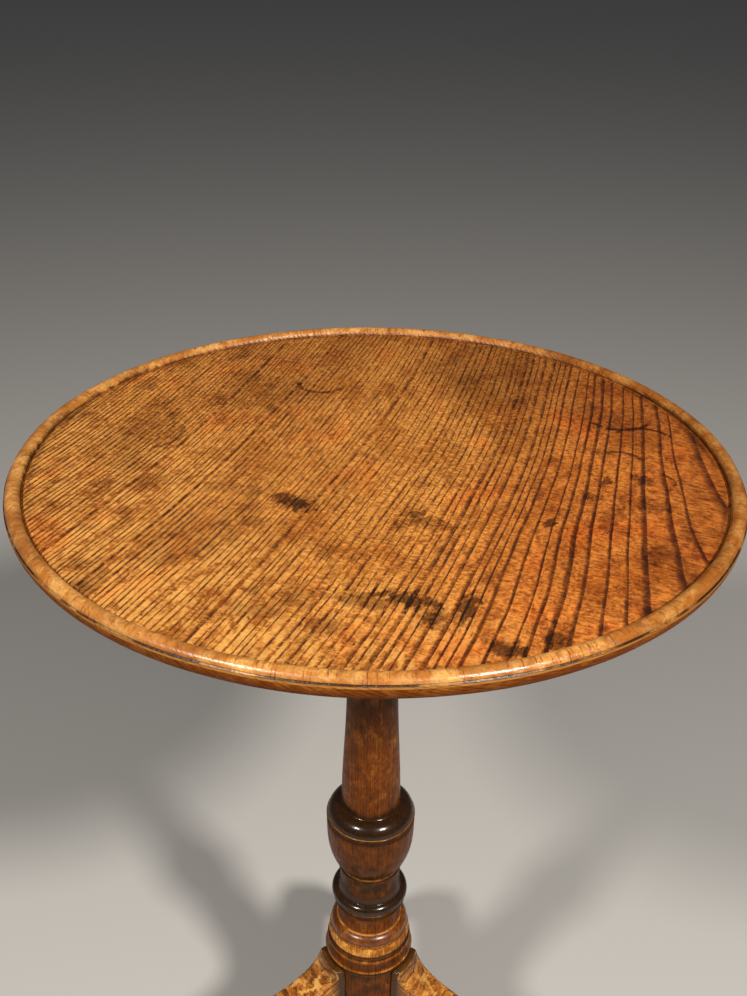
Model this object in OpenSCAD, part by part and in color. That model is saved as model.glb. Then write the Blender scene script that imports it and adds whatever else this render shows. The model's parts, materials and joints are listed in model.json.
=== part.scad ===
// Tilt top tripod table: a dished round oak top on a turned column with three legs.
// Millimetres. +Z is up and the origin is on the floor, on the column's axis.
// The top tips about a line along X, so that its face turns towards -Y.

/* [Table] */
// Height of the top's rim above the floor
table_h = 700; // [690:1:720]
// Diameter of the top
top_d = 500; // [490:2:540]

/* [Top] */
// Thickness of the top at its rim
top_t = 20; // [18:0.5:24]
// Depth of the dished field below the rim
dish_depth = 5; // [3:0.5:6]
// Width of the rounded bead that stands up round the dish
bead_w = 10; // [8:0.5:12]
// Radius of the ovolo under the rim
ovolo_r = 13; // [10:0.5:13]
// Height of the small square fillet below the ovolo
rim_fillet_h = 1.2; // [0.8:0.1:1.6]

/* [Tilting block] */
// Width of the block, along the hinge line
block_w = 150; // [140:2:160]
// Length of the block, front to back
block_l = 150; // [140:2:160]
// Thickness of the block
block_t = 24; // [22:1:28]
// Radius of the round pivot pins on the block's front corners
pivot_r = 8; // [6:0.5:8.5]
// Gap between the block and the underside of the top
block_gap = 0.3; // [0.2:0.05:0.4]
// Gap between the block and each bearer
side_gap = 0.4; // [0.3:0.05:0.6]
// Radial clearance of a pivot pin in its bearer
pivot_play = 0.05; // [0.03:0.01:0.08]

/* [Bearers] */
// Width of a bearer
bearer_w = 26; // [24:1:30]
// Depth of a bearer
bearer_h = 34; // [32:1:38]
// Length of a bearer
bearer_l = 350; // [330:5:360]

/* [Column] */
// Radius of the shaft just above the urn
shaft_r = 24.3; // [23:0.1:25]
// Radius of the shaft below its neck moulding
neck_r = 18.8; // [18:0.1:20]
// Largest radius of the urn
urn_r = 36.9; // [35:0.1:37.5]
// Largest radius of the ring below the urn
ring_r = 32.6; // [32:0.1:33]
// Radius of the arris at the foot of the base moulding
arris_r = 38.8; // [38.4:0.1:39.6]
// Radius of the drum that holds the legs
drum_r = 37; // [36:0.1:37.5]
// Height of the drum's underside
drum_z = 115; // [113:1:117]
// Radius of the round tenon that goes up through the block
tenon_r = 14; // [12:0.5:15]

/* [Legs] */
// Thickness of a leg beside the column
leg_t = 36; // [34:1:37]
// Thickness of a leg at its ankle
ankle_t = 25; // [22:1:28]
// Distance from the column's axis to the middle of a foot
foot_s = 222; // [216:1:226]
// Radius of a pad foot
foot_r = 21; // [19:0.5:22]

/* [Catch] */
// Travel of the sliding bolt
bolt_travel = 9; // [8:0.5:10]
// Width of the bolt
bolt_w = 12; // [10:0.5:14]
// Thickness of the bolt
bolt_t = 5; // [4:0.5:6]

/* [Hidden] */
$fn = 96;

slip = 0.05;                 // clearance round a fixed wooden or metal piece
top_r = top_d / 2;
under_z = table_h - top_t;   // underside of the top
field_z = table_h - dish_depth;

block_top = under_z - block_gap;
block_z = block_top - block_t;
pivot_z = block_top - block_t / 2;
pivot_y = -block_l / 2 + block_t / 2;
bearer_x = block_w / 2 + side_gap;

screw_r = 2.4;
screw_head_r = 5;
screw_head_h = 3;
screw_bite = 9;              // depth of a bearer's screw in the top
bearer_screw_y = [-125, 15, 125];

leg_angles = [-30, 90, 210]; // front right, back, front left
tail_neck = 14;              // width of a dovetail at the drum's surface
tail_w = 20;                 // width of a dovetail at its inner end
tail_in = 22;                // distance from the axis to a dovetail's inner end
tail_top = drum_z + 78;
leg_top = drum_z + 90;

strap_t = 2.5;
strap_w = 18;
strap_reach = 72;
nail_r = 1.6;
nail_s = [50, 65];           // nails along each arm of the strap

catch_y = 80;                // front edge of the catch's plate
catch_plate_t = 1.6;
catch_plate_w = 44;
catch_plate_l = 62;
case_w = 20;
case_l = 40;
case_h = 10.5;
case_y = catch_y + 6;
bolt_play = 0.2;
bolt_top = under_z - catch_plate_t - 3.5;
bolt_y = 78;                 // nose of the bolt when it is drawn back
bolt_l = 56;
knob_y = bolt_y + 24;
knob_stem_r = 2;
small_screw_r = 1.4;
small_head_r = 2.8;
small_head_h = 1.5;
keeper_w = 40;
keeper_h = 12;
keeper_t = 1.6;
keeper_z = bolt_top - bolt_t / 2;
keeper_screw_x = 14;

OAK = [0.50, 0.27, 0.10];
OAK_DARK = [0.30, 0.15, 0.06];
OAK_UNDER = [0.42, 0.28, 0.16];
IRON = [0.12, 0.11, 0.10];
BRASS = [0.70, 0.52, 0.22];

// Points of an ellipse's arc, n steps from angle a0 to a1
function arc(cx, cy, rx, ry, a0, a1, n) =
    [for (i = [0:n]) let (a = a0 + (a1 - a0) * i / n) [cx + rx * cos(a), cy + ry * sin(a)]];

// Points of a cubic curve, n steps, without its first point
function curve(p, n) =
    [for (i = [1:n]) let (t = i / n, u = 1 - t)
        u * u * u * p[0] + 3 * u * u * t * p[1] + 3 * u * t * t * p[2] + t * t * t * p[3]];

// ---------- the top ----------

// Half section of the top, from the middle of its underside out and over the rim
function top_section() =
    let (
        edge_z = under_z + rim_fillet_h + ovolo_r,
        bead_c = top_r - 0.8 - bead_w / 2,
        bead_h = table_h - edge_z - 1.6
    )
    concat(
        [[0, under_z], [top_r - ovolo_r, under_z]],
        arc(top_r - ovolo_r, edge_z, ovolo_r, ovolo_r, -90, 0, 14),
        [[top_r, edge_z + 1.4], [top_r - 1.6, edge_z + 1.6]],
        arc(bead_c, table_h - bead_h, bead_w / 2, bead_h, 0, 165, 11),
        [[top_r - bead_w - 1.6, field_z - 0.6], [top_r - bead_w - 3, field_z], [0, field_z]]
    );

module screw_holes_up(r, depth) {
    for (side = [-1, 1], y = bearer_screw_y)
        translate([side * (bearer_x + bearer_w / 2), y, under_z - 1])
            cylinder(r = r, h = depth + 1);
}

module catch_screw_places() {
    for (x = [-1, 1], y = [6, catch_plate_l - 6])
        translate([x * (catch_plate_w / 2 - 6), catch_y + y, under_z - catch_plate_t])
            children();
}

module top() {
    color(OAK)
    difference() {
        rotate_extrude() polygon(top_section());
        screw_holes_up(screw_r + slip, screw_bite + 0.5);
        catch_screw_places() cylinder(r = small_screw_r + slip, h = 11.5);
    }
}

// ---------- bearers ----------

// Side outline of a bearer, along Y and down from the top: its ends are swept up
function bearer_outline() =
    let (half = bearer_l / 2, thin = 12, sweep = 42)
    concat(
        [[-half, 0], [-half, -thin]],
        curve([[-half, -thin], [-half + 16, -thin], [-half + 24, -bearer_h],
               [-half + sweep, -bearer_h]], 8),
        curve([[half - sweep, -bearer_h], [half - 24, -bearer_h], [half - 16, -thin],
               [half, -thin]], 8),
        [[half, 0]]
    );

module bearer(side) {
    low = under_z - bearer_h;
    x = side * (bearer_x + bearer_w / 2);
    color(OAK_UNDER)
    difference() {
        translate([x - bearer_w / 2, 0, under_z])
            rotate([90, 0, 90])
                linear_extrude(bearer_w) polygon(bearer_outline());
        translate([x - bearer_w, pivot_y, pivot_z])
            rotate([0, 90, 0]) cylinder(r = pivot_r + pivot_play, h = 2 * bearer_w);
        for (y = bearer_screw_y)
            translate([x, y, low - 1]) {
                cylinder(r = screw_r + slip, h = bearer_h + 2);
                cylinder(r = screw_head_r + slip, h = 1 + slip);
                translate([0, 0, 1])
                    cylinder(r1 = screw_head_r + slip, r2 = screw_r + slip, h = screw_head_h);
            }
    }
}

module bearer_right() { bearer(1); }
module bearer_left() { bearer(-1); }

// A slotted countersunk wood screw, head down, with its head's face at z = 0
module wood_screw(shank_r, head_r, head_h, length) {
    difference() {
        rotate_extrude()
            polygon([[0, 0], [head_r, 0], [shank_r, head_h], [shank_r, length - 3 * shank_r],
                     [0.3, length], [0, length]]);
        translate([-head_r - 1, -head_r * 0.1, -1]) cube([2 * head_r + 2, head_r * 0.2, 1.8]);
    }
}

module bearer_screws(side) {
    color(IRON)
    for (y = bearer_screw_y)
        translate([side * (bearer_x + bearer_w / 2), y, under_z - bearer_h])
            rotate(y * 3) wood_screw(screw_r, screw_head_r, screw_head_h, bearer_h + screw_bite);
}

module bearer_screws_right() { bearer_screws(1); }
module bearer_screws_left() { bearer_screws(-1); }

// ---------- block ----------

// Side outline of the block, along Y and Z: rounded about the pivot so that the top clears it
function block_outline() =
    let (half = block_l / 2, r = block_t / 2)
    concat(
        [[-half, block_z + 3], [-half, pivot_z]],
        arc(pivot_y, pivot_z, r, r, 180, 90, 12),
        [[half, block_top], [half, block_z + 3], [half - 3, block_z], [-half + 3, block_z]]
    );

module wedge_shape(extra) {
    deep = 18;
    translate([0, tenon_r + 1, 0])
        rotate([90, 0, 0])
            linear_extrude(2 * tenon_r + 2)
                polygon([[-0.8 - extra, block_top - deep], [0.8 + extra, block_top - deep],
                         [1.7 + extra, block_top + extra], [-1.7 - extra, block_top + extra]]);
}

module tenon_wedge() {
    color(OAK_UNDER)
    intersection() {
        wedge_shape(0);
        translate([0, 0, block_z]) cylinder(r = tenon_r, h = block_t);
    }
}

module block() {
    color(OAK_UNDER)
    difference() {
        union() {
            translate([-block_w / 2, 0, 0])
                rotate([90, 0, 90]) linear_extrude(block_w) polygon(block_outline());
            for (side = [-1, 1])
                translate([side * block_w / 2, pivot_y, pivot_z])
                    rotate([0, side * 90, 0])
                        translate([0, 0, -1])
                            cylinder(r = pivot_r, h = side_gap + bearer_w + 1);
        }
        translate([0, 0, block_z - 1]) cylinder(r = tenon_r + slip, h = block_t + 2);
        keeper_plate_room();
        translate([-bolt_w / 2 - 1, block_l / 2 - 12, keeper_z - bolt_t / 2 - 1])
            cube([bolt_w + 2, 13, bolt_t + 2]);
        for (x = [-1, 1])
            translate([x * keeper_screw_x, block_l / 2 + 1, keeper_z])
                rotate([90, 0, 0]) cylinder(r = small_screw_r + slip, h = 16);
    }
}

// ---------- keeper ----------

module keeper_plate_room() {
    translate([-keeper_w / 2 - slip, block_l / 2 - keeper_t, keeper_z - keeper_h / 2 - slip])
        cube([keeper_w + 2 * slip, keeper_t + 1, keeper_h + 2 * slip]);
}

module keeper_plate() {
    color(BRASS)
    difference() {
        translate([-keeper_w / 2, block_l / 2 - keeper_t, keeper_z - keeper_h / 2])
            cube([keeper_w, keeper_t, keeper_h]);
        translate([-bolt_w / 2 - 0.5, block_l / 2 - 12, keeper_z - bolt_t / 2 - 0.5])
            cube([bolt_w + 1, 13, bolt_t + 1]);
        for (x = [-1, 1])
            translate([x * keeper_screw_x, block_l / 2, keeper_z])
                rotate([90, 0, 0]) {
                    translate([0, 0, -1]) cylinder(r = small_screw_r + slip, h = 4);
                    cylinder(r1 = small_head_r + slip, r2 = small_screw_r + slip, h = small_head_h);
                }
    }
}

module keeper_screws() {
    color(BRASS)
    for (x = [-1, 1])
        translate([x * keeper_screw_x, block_l / 2, keeper_z])
            rotate([90, 0, 0])
                rotate(30 * x) wood_screw(small_screw_r, small_head_r, small_head_h, 14);
}

// ---------- column ----------

// Outline of the turned column, from the top of its tenon down to the drum's underside
function column_outline() =
    let (
        shaft_top = block_z - 17,
        swell_z = table_h - 200,
        urn_top = table_h - 321,
        slender_r = neck_r + 1.4
    )
    concat(
        [[0, block_top], [tenon_r, block_top], [tenon_r, block_z]],
        // cap: a fillet, a small cove and a bead
        [[22, block_z], [22, block_z - 3]],
        arc(22, block_z - 7, 3, 4, 90, 180, 5),
        [[20, block_z - 8]],
        arc(19.2, block_z - 11, 2.8, 2.8, 75, -75, 8),
        [[20, block_z - 14.6], [19.6, block_z - 15]],
        // shaft: a slow taper, then a swell down to the urn
        [for (i = [0:6]) [neck_r + (slender_r - neck_r) * i / 6,
                          shaft_top + (swell_z - shaft_top) * i / 6]],
        [for (i = [1:12]) [slender_r + (shaft_r - slender_r) * (1 - cos(15 * i)) / 2,
                           swell_z + (urn_top - swell_z) * i / 12]],
        // shoulder of the urn: a quarter round over a small fillet
        [[shaft_r + 0.8, urn_top - 1]],
        arc(shaft_r + 0.8, urn_top - 13, urn_r - shaft_r - 1.6, 12, 88, 4, 10),
        [[urn_r, urn_top - 12.4], [urn_r, urn_top - 15], [urn_r - 1, urn_top - 15.8],
         [urn_r - 0.2, urn_top - 17]],
        // body of the urn
        curve([[urn_r - 0.2, urn_top - 17], [urn_r - 0.2, urn_top - 38],
               [urn_r - 1.1, urn_top - 47], [31.5, urn_top - 58]], 14),
        curve([[31.5, urn_top - 58], [29.8, urn_top - 62.5], [28, urn_top - 65],
               [26.2, urn_top - 66.5]], 5),
        [[25.6, urn_top - 67.5], [25.6, urn_top - 69], [26.8, urn_top - 70],
         [26.8, urn_top - 72.5]],
        // neck down to the ring
        curve([[26.8, urn_top - 72.5], [25, urn_top - 78], [24.6, urn_top - 90],
               [27.6, urn_top - 96.6]], 8),
        arc(ring_r - 5.5, urn_top - 102, 5.5, 5.5, 76, -68, 12),
        [[30.9, urn_top - 107.8], [30.9, urn_top - 111]],
        // waist
        curve([[28.4, urn_top - 111.6], [26, urn_top - 119], [25.8, urn_top - 129.5],
               [28, urn_top - 132.6]], 12),
        // roll, band, fillet and lower band of the base moulding
        curve([[28, urn_top - 132.6], [31, urn_top - 135.2], [33.6, urn_top - 137.2],
               [33.6, urn_top - 141]], 6),
        [[32.2, urn_top - 142.6], [33.6, urn_top - 143.8]],
        curve([[33.6, urn_top - 143.8], [35, urn_top - 145.6], [35.7, urn_top - 148.5],
               [35.5, urn_top - 151.5]], 5),
        [[34.6, urn_top - 153.8], [36.4, urn_top - 155.4], [36.9, urn_top - 158.4]],
        curve([[36.9, urn_top - 158.4], [36.2, urn_top - 163], [36.8, urn_top - 168],
               [arris_r, urn_top - 169.8]], 5),
        // drum
        [[arris_r, urn_top - 171.2], [drum_r, urn_top - 173], [drum_r, drum_z + 2],
         [drum_r - 2, drum_z], [0, drum_z]]
    );

module dovetail(extra) {
    translate([0, 0, drum_z - (extra > 0 ? 1 : 0)])
        linear_extrude(tail_top - drum_z + extra + (extra > 0 ? 1 : 0))
            polygon([[tail_in - extra, -tail_w / 2 - extra], [tail_in - extra, tail_w / 2 + extra],
                     [drum_r + 3, tail_neck / 2 + extra], [drum_r + 3, -tail_neck / 2 - extra]]);
}

module column() {
    color(OAK_DARK)
    difference() {
        rotate_extrude() polygon(column_outline());
        for (a = leg_angles) rotate(a) dovetail(slip);
        wedge_shape(slip);
        translate([0, 0, drum_z - 1]) cylinder(r = nail_r + slip, h = 22);
    }
}

// ---------- legs ----------

// Side outline of a leg: distance from the column's axis against height
function leg_outline() =
    concat(
        [[drum_r + slip, drum_z + 0.2], [drum_r + slip, leg_top - 1], [drum_r + 2, leg_top],
         [drum_r + 6, leg_top]],
        curve([[drum_r + 6, leg_top], [48, leg_top - 17.5], [62, leg_top - 27.5],
               [95, leg_top - 34]], 10),
        curve([[95, leg_top - 34], [116, leg_top - 38], [133, leg_top - 47],
               [146, leg_top - 67]], 10),
        curve([[146, leg_top - 67], [159, leg_top - 87], [176, 60], [199, 36]], 12),
        curve([[199, 36], [207, 28], [214, 24], [foot_s, 20]], 4),
        [[foot_s, 4], [foot_s - 20, 6]],
        curve([[foot_s - 20, 6], [184, 14], [172, 32], [160, 54]], 8),
        curve([[160, 54], [146, 80], [134, drum_z - 2], [100, drum_z + 0.2]], 10),
        [[drum_r + slip, drum_z + 0.2]]
    );

// Plan of a leg's one side: it thins from the column to the ankle
function leg_side() =
    curve([[0, leg_t / 2], [60, leg_t / 2], [150, leg_t / 2 - 2], [foot_s, ankle_t / 2]], 12);

module leg(angle) {
    side = concat([[20, leg_t / 2]], [for (p = leg_side()) if (p[0] > 20) p]);
    other = [for (i = [len(side) - 1:-1:0]) [side[i][0], -side[i][1]]];
    color(OAK)
    rotate(angle)
    difference() {
        union() {
            intersection() {
                rotate_extrude() polygon(leg_outline());
                linear_extrude(table_h / 2) polygon(concat(side, other));
            }
            translate([foot_s, 0, 0])
                rotate_extrude()
                    polygon(concat([[0, 0], [foot_r - 5, 0]],
                                   arc(foot_r - 6, 8, 6, 8, -80, 60, 10),
                                   [[ankle_t / 2 - 1, 19.5], [0, 20]]));
            difference() {
                dovetail(0);
                translate([0, 0, drum_z - 1]) cube([2 * tail_in, tail_w * 2, 2.4], center = true);
            }
        }
        for (s = nail_s)
            translate([s, 0, drum_z - 1]) cylinder(r = nail_r + slip, h = 22);
    }
}

module leg_front_right() { leg(leg_angles[0]); }
module leg_back() { leg(leg_angles[1]); }
module leg_front_left() { leg(leg_angles[2]); }

// ---------- iron strap under the legs ----------

module leg_strap() {
    color(IRON)
    difference() {
        translate([0, 0, drum_z - strap_t])
            linear_extrude(strap_t)
                union() {
                    circle(r = 24);
                    for (a = leg_angles)
                        rotate(a) {
                            translate([0, -strap_w / 2]) square([strap_reach - strap_w / 2, strap_w]);
                            translate([strap_reach - strap_w / 2, 0]) circle(d = strap_w);
                        }
                }
        translate([0, 0, drum_z - 5]) cylinder(r = nail_r + slip, h = 10);
        for (a = leg_angles, s = nail_s)
            rotate(a) translate([s, 0, drum_z - 5]) cylinder(r = nail_r + slip, h = 10);
    }
}

module clout_nail() {
    rotate_extrude()
        polygon(concat([[0, -2], [1, -2]], arc(1, 0, 3.6, 2, -80, 0, 5),
                       [[nail_r, 0], [nail_r, strap_t + 14], [0.2, strap_t + 20],
                        [0, strap_t + 20]]));
}

module strap_nails() {
    color(IRON) {
        translate([0, 0, drum_z - strap_t]) clout_nail();
        for (a = leg_angles, s = nail_s)
            rotate(a) translate([s, 0, drum_z - strap_t]) clout_nail();
    }
}

// ---------- catch ----------

module catch_plate() {
    color(BRASS)
    difference() {
        translate([-catch_plate_w / 2, catch_y, under_z - catch_plate_t])
            cube([catch_plate_w, catch_plate_l, catch_plate_t]);
        catch_screw_places() {
            translate([0, 0, -1]) cylinder(r = small_screw_r + slip, h = 4);
            cylinder(r1 = small_head_r + slip, r2 = small_screw_r + slip, h = small_head_h);
        }
    }
}

module catch_screws() {
    color(BRASS)
    catch_screw_places()
        rotate(20) wood_screw(small_screw_r, small_head_r, small_head_h, 11);
}

// A folded case round the bolt, open at both ends and slotted below for the knob's stem
module catch_case() {
    top_z = under_z - catch_plate_t;
    inner_w = bolt_w + 2 * bolt_play;
    inner_h = top_z - bolt_top + bolt_t + bolt_play;
    color(BRASS)
    difference() {
        translate([-case_w / 2, case_y, top_z - case_h]) cube([case_w, case_l, case_h]);
        translate([-inner_w / 2, case_y - 1, top_z - inner_h])
            cube([inner_w, case_l + 2, inner_h + 1]);
        translate([-knob_stem_r - 0.3, knob_y - bolt_travel - knob_stem_r - 1, top_z - case_h - 1])
            cube([2 * knob_stem_r + 0.6, bolt_travel + 2 * knob_stem_r + 2, case_h]);
    }
}

module catch_bolt() {
    color(BRASS)
    difference() {
        translate([-bolt_w / 2, 0, 0])
            rotate([90, 0, 90])
                linear_extrude(bolt_w)
                    polygon([[bolt_y, bolt_top - 1.5], [bolt_y + 1.5, bolt_top],
                             [bolt_y + bolt_l, bolt_top], [bolt_y + bolt_l, bolt_top - bolt_t],
                             [bolt_y + 1.5, bolt_top - bolt_t], [bolt_y, bolt_top - bolt_t + 1.5]]);
        translate([0, knob_y, bolt_top - bolt_t - 1]) cylinder(r = knob_stem_r + slip, h = bolt_t + 2);
    }
}

// A thin bowed strip on the bolt, which rubs on the plate and holds the bolt where it is put
module catch_leaf() {
    strip_t = 0.5;
    rise = under_z - catch_plate_t - bolt_top - strip_t - 0.1;
    half = 12;
    mid = knob_y + knob_stem_r + half + 3;
    low = [for (i = [0:12]) [mid - half + 2 * half * i / 12, bolt_top + rise * sin(15 * i)]];
    high = [for (i = [12:-1:0]) [low[i][0], low[i][1] + strip_t]];
    color(BRASS)
        translate([-bolt_w / 4, 0, 0])
            rotate([90, 0, 90]) linear_extrude(bolt_w / 2) polygon(concat(low, high));
}

module catch_knob() {
    stem = case_h + 1;
    color(BRASS)
    translate([0, knob_y, bolt_top - 0.5])
        rotate([180, 0, 0])
            rotate_extrude()
                polygon(concat([[0, 0], [knob_stem_r, 0], [knob_stem_r, stem - 1], [3.4, stem],
                                [3, stem + 1.5]],
                               arc(0, stem + 6, 6, 5, -50, 90, 12)));
}

column();
leg_front_right();
leg_back();
leg_front_left();
block();
tenon_wedge();
leg_strap();
strap_nails();
keeper_plate();
keeper_screws();
top();
bearer_right();
bearer_left();
bearer_screws_right();
bearer_screws_left();
catch_plate();
catch_case();
catch_screws();
catch_bolt();
catch_leaf();
catch_knob();
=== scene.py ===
import json
import math

import bmesh
import bpy
import numpy as np
from mathutils import Matrix, Vector, noise


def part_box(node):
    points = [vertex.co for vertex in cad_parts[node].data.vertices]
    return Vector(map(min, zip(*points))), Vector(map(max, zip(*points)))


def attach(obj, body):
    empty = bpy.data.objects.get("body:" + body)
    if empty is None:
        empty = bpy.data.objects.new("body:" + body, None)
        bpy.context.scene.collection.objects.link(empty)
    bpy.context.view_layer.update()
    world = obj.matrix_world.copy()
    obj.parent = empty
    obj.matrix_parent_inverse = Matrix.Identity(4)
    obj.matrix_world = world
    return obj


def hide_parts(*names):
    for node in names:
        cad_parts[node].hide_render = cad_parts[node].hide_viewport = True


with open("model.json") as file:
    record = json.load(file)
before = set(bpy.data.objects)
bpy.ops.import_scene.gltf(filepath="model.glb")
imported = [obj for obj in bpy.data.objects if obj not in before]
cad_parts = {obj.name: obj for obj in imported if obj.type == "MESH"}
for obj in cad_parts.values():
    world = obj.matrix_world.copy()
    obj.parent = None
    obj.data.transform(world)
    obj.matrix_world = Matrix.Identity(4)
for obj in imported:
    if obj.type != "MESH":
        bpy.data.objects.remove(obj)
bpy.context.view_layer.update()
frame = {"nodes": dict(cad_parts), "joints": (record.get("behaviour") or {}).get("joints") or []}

MM = 0.001

# -------------------- places taken from the frame

top_low, top_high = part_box("top")
RIM_R = top_high.x
RIM_Z = top_high.z
UNDER_Z = top_low.z
block_low, block_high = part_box("block")
column_low, column_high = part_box("column")
DRUM_Z = column_low.z
tilt = next(j for j in frame["joints"] if j["name"] == "top_tilt")
PIVOT = Vector(tilt["pos_m"])
LEG_ANGLES = {"leg_front_right": -30, "leg_back": 90, "leg_front_left": 210}

# In millimetres
URN = RIM_Z / MM - 321      # height of the urn's top
BEAD_FOOT = RIM_R / MM - 13.4   # radius of the line where the bead meets the dish
DRUM_R = 37.0               # radius of the drum that the legs join
ARRIS_S = 43.0              # distance of the arris at the top of a leg from the column's axis
FOOT_S = 222.0              # distance of the middle of a foot from the column's axis
FOOT_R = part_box("leg_back")[1].y / MM - FOOT_S


# -------------------- outlines, in millimetres

def arc(cx, cy, rx, ry, start, end, steps):
    """Points of an ellipse's arc between two angles in degrees."""
    angles = np.radians(np.linspace(start, end, steps + 1))
    return [(cx + rx * math.cos(a), cy + ry * math.sin(a)) for a in angles]


def curve(a, b, c, d, steps):
    """Points of a cubic curve, without its first point."""
    a, b, c, d = map(np.array, (a, b, c, d))
    found = []
    for t in np.linspace(0, 1, steps + 1)[1:]:
        u = 1 - t
        found.append(tuple(u**3 * a + 3 * u * u * t * b + 3 * u * t * t * c + t**3 * d))
    return found


def resample(points, step):
    """The same line with points evenly spaced about step apart."""
    points = np.array(points, float)
    along = np.concatenate([[0], np.cumsum(np.linalg.norm(np.diff(points, axis=0), axis=1))])
    keep = np.concatenate([[True], np.diff(along) > 1e-9])
    count = max(2, int(round(along[-1] / step)) + 1)
    where = np.linspace(0, along[-1], count)
    return np.stack([np.interp(where, along[keep], points[keep, i]) for i in (0, 1)], axis=1)


def softened(points, radius, step=0.25):
    """An outline with its corners worn round; its first and last points stay."""
    line = resample(points, step)
    reach = max(1, int(round(radius / step)))
    weights = np.hanning(2 * reach + 3)[1:-1]
    weights /= weights.sum()
    padded = np.concatenate([np.repeat(line[:1], reach, 0), line, np.repeat(line[-1:], reach, 0)])
    out = np.stack([np.convolve(padded[:, i], weights, "valid") for i in (0, 1)], axis=1)
    out[0], out[-1] = line[0], line[-1]
    return out


def thinned(line, tolerance=0.025, longest=4.0):
    """The fewest of a line's points that keep its shape, none further apart than longest."""
    keep = [0]
    i = 0
    while i < len(line) - 1:
        j = i + 1
        while j + 1 < len(line):
            chord = line[j + 1] - line[i]
            length = np.linalg.norm(chord)
            between = line[i + 1:j + 1] - line[i]
            off = np.abs(between[:, 0] * chord[1] - between[:, 1] * chord[0]) / max(length, 1e-9)
            if off.max() > tolerance or length > longest:
                break
            j += 1
        keep.append(j)
        i = j
    return np.array(keep)


def hollowness(line, reach):
    """How hollow (positive) or proud (negative) an outline is at each point, from -1 to 1."""
    ahead = np.roll(line, -reach, 0)
    behind = np.roll(line, reach, 0)
    ahead[-reach:] = line[-1]
    behind[:reach] = line[0]
    tangent = ahead - behind
    tangent /= np.maximum(np.linalg.norm(tangent, axis=1, keepdims=True), 1e-9)
    normal = np.stack([tangent[:, 1], -tangent[:, 0]], axis=1)
    bend = ((ahead + behind) / 2 - line) * normal
    return np.clip(bend.sum(1) / 0.35, -1, 1)


# -------------------- meshes

def new_object(name, verts, faces):
    mesh = bpy.data.meshes.new(name)
    mesh.from_pydata([tuple(v) for v in verts], [], faces)
    mesh.validate()
    mesh.update()
    mesh.shade_smooth()
    obj = bpy.data.objects.new(name, mesh)
    bpy.context.scene.collection.objects.link(obj)
    return obj


def face_outwards(obj):
    """Turns every face of a closed solid outwards."""
    bm = bmesh.new()
    bm.from_mesh(obj.data)
    bmesh.ops.recalc_face_normals(bm, faces=bm.faces)
    bm.to_mesh(obj.data)
    bm.free()


def set_attribute(obj, name, values):
    attribute = obj.data.attributes.new(name, "FLOAT", "POINT")
    attribute.data.foreach_set("value", np.asarray(values, np.float32))


def lathe(name, outline, segments, softness, unevenness=0.0, longest=4.0, seed=0.0):
    """A turned solid about Z. Its outline is (radius, height) in millimetres, axis to axis."""
    fine = softened(outline, softness)
    hollow = hollowness(fine, reach=5)
    keep = thinned(fine, longest=longest)
    line, hollow = fine[keep], hollow[keep]
    turn = np.linspace(0, 2 * math.pi, segments, endpoint=False)
    verts, values = [], []
    for (r, z), h in zip(line[1:-1], hollow[1:-1]):
        for a in turn:
            x, y = r * math.cos(a), r * math.sin(a)
            spot = Vector((x / 45 + seed, y / 45, z / 60))
            grow = unevenness * noise.noise(spot) * min(1.0, r / 10)
            lift = unevenness * 0.6 * noise.noise(spot + Vector((7.3, 0, 0))) * min(1.0, r / 10)
            k = 1 + grow / max(r, 1e-6)
            verts.append((x * k * MM, y * k * MM, (z + lift) * MM))
            values.append(h)
    rows = len(line) - 2
    first, last = len(verts), len(verts) + 1
    verts += [(0, 0, line[0][1] * MM), (0, 0, line[-1][1] * MM)]
    values += [0, 0]
    faces = []
    for i in range(rows - 1):
        for j in range(segments):
            k = (j + 1) % segments
            a, b = i * segments, (i + 1) * segments
            faces.append((a + j, a + k, b + k, b + j))
    for j in range(segments):
        k = (j + 1) % segments
        faces.append((first, k, j))
        faces.append((last, (rows - 1) * segments + j, (rows - 1) * segments + k))
    obj = new_object(name, verts, faces)
    face_outwards(obj)
    set_attribute(obj, "hollow", values)
    return obj


def mesh_array(mesh, collection, field, width, kind=np.float32):
    """One field of every vertex or edge of a mesh as rows of numbers."""
    found = np.empty(len(getattr(mesh, collection)) * width, kind)
    getattr(mesh, collection).foreach_get(field, found)
    return found.reshape(-1, width)


def set_hollow(obj, rounds, full):
    """Stores how hollow (positive) or proud (negative) the surface is; full is in millimetres."""
    mesh = obj.data
    place = mesh_array(mesh, "vertices", "co", 3).astype(float)
    normals = mesh_array(mesh, "vertex_normals", "vector", 3)
    a, b = mesh_array(mesh, "edges", "vertices", 2, np.int32).T
    count = len(place)
    joined = np.maximum(np.bincount(a, minlength=count) + np.bincount(b, minlength=count), 1)
    broad = place.copy()
    for _ in range(rounds):
        for i in range(3):
            total = np.bincount(a, broad[b, i], count) + np.bincount(b, broad[a, i], count)
            broad[:, i] = (broad[:, i] + total / joined) / 2
    offset = ((broad - place) * normals).sum(1) / MM
    set_attribute(obj, "hollow", np.clip(offset / full, -1, 1))


def modify(obj, kind, **settings):
    """Adds one modifier and applies it."""
    added = obj.modifiers.new(kind.lower(), kind)
    for key, value in settings.items():
        setattr(added, key, value)
    graph = bpy.context.evaluated_depsgraph_get()
    mesh = bpy.data.meshes.new_from_object(obj.evaluated_get(graph))
    obj.modifiers.clear()
    obj.data = mesh


def join(first, *others):
    """Moves the other objects' meshes into the first."""
    bm = bmesh.new()
    for obj in (first, *others):
        bm.from_mesh(obj.data)
    bm.to_mesh(first.data)
    bm.free()
    for obj in others:
        bpy.data.objects.remove(obj)
    return first


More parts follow.
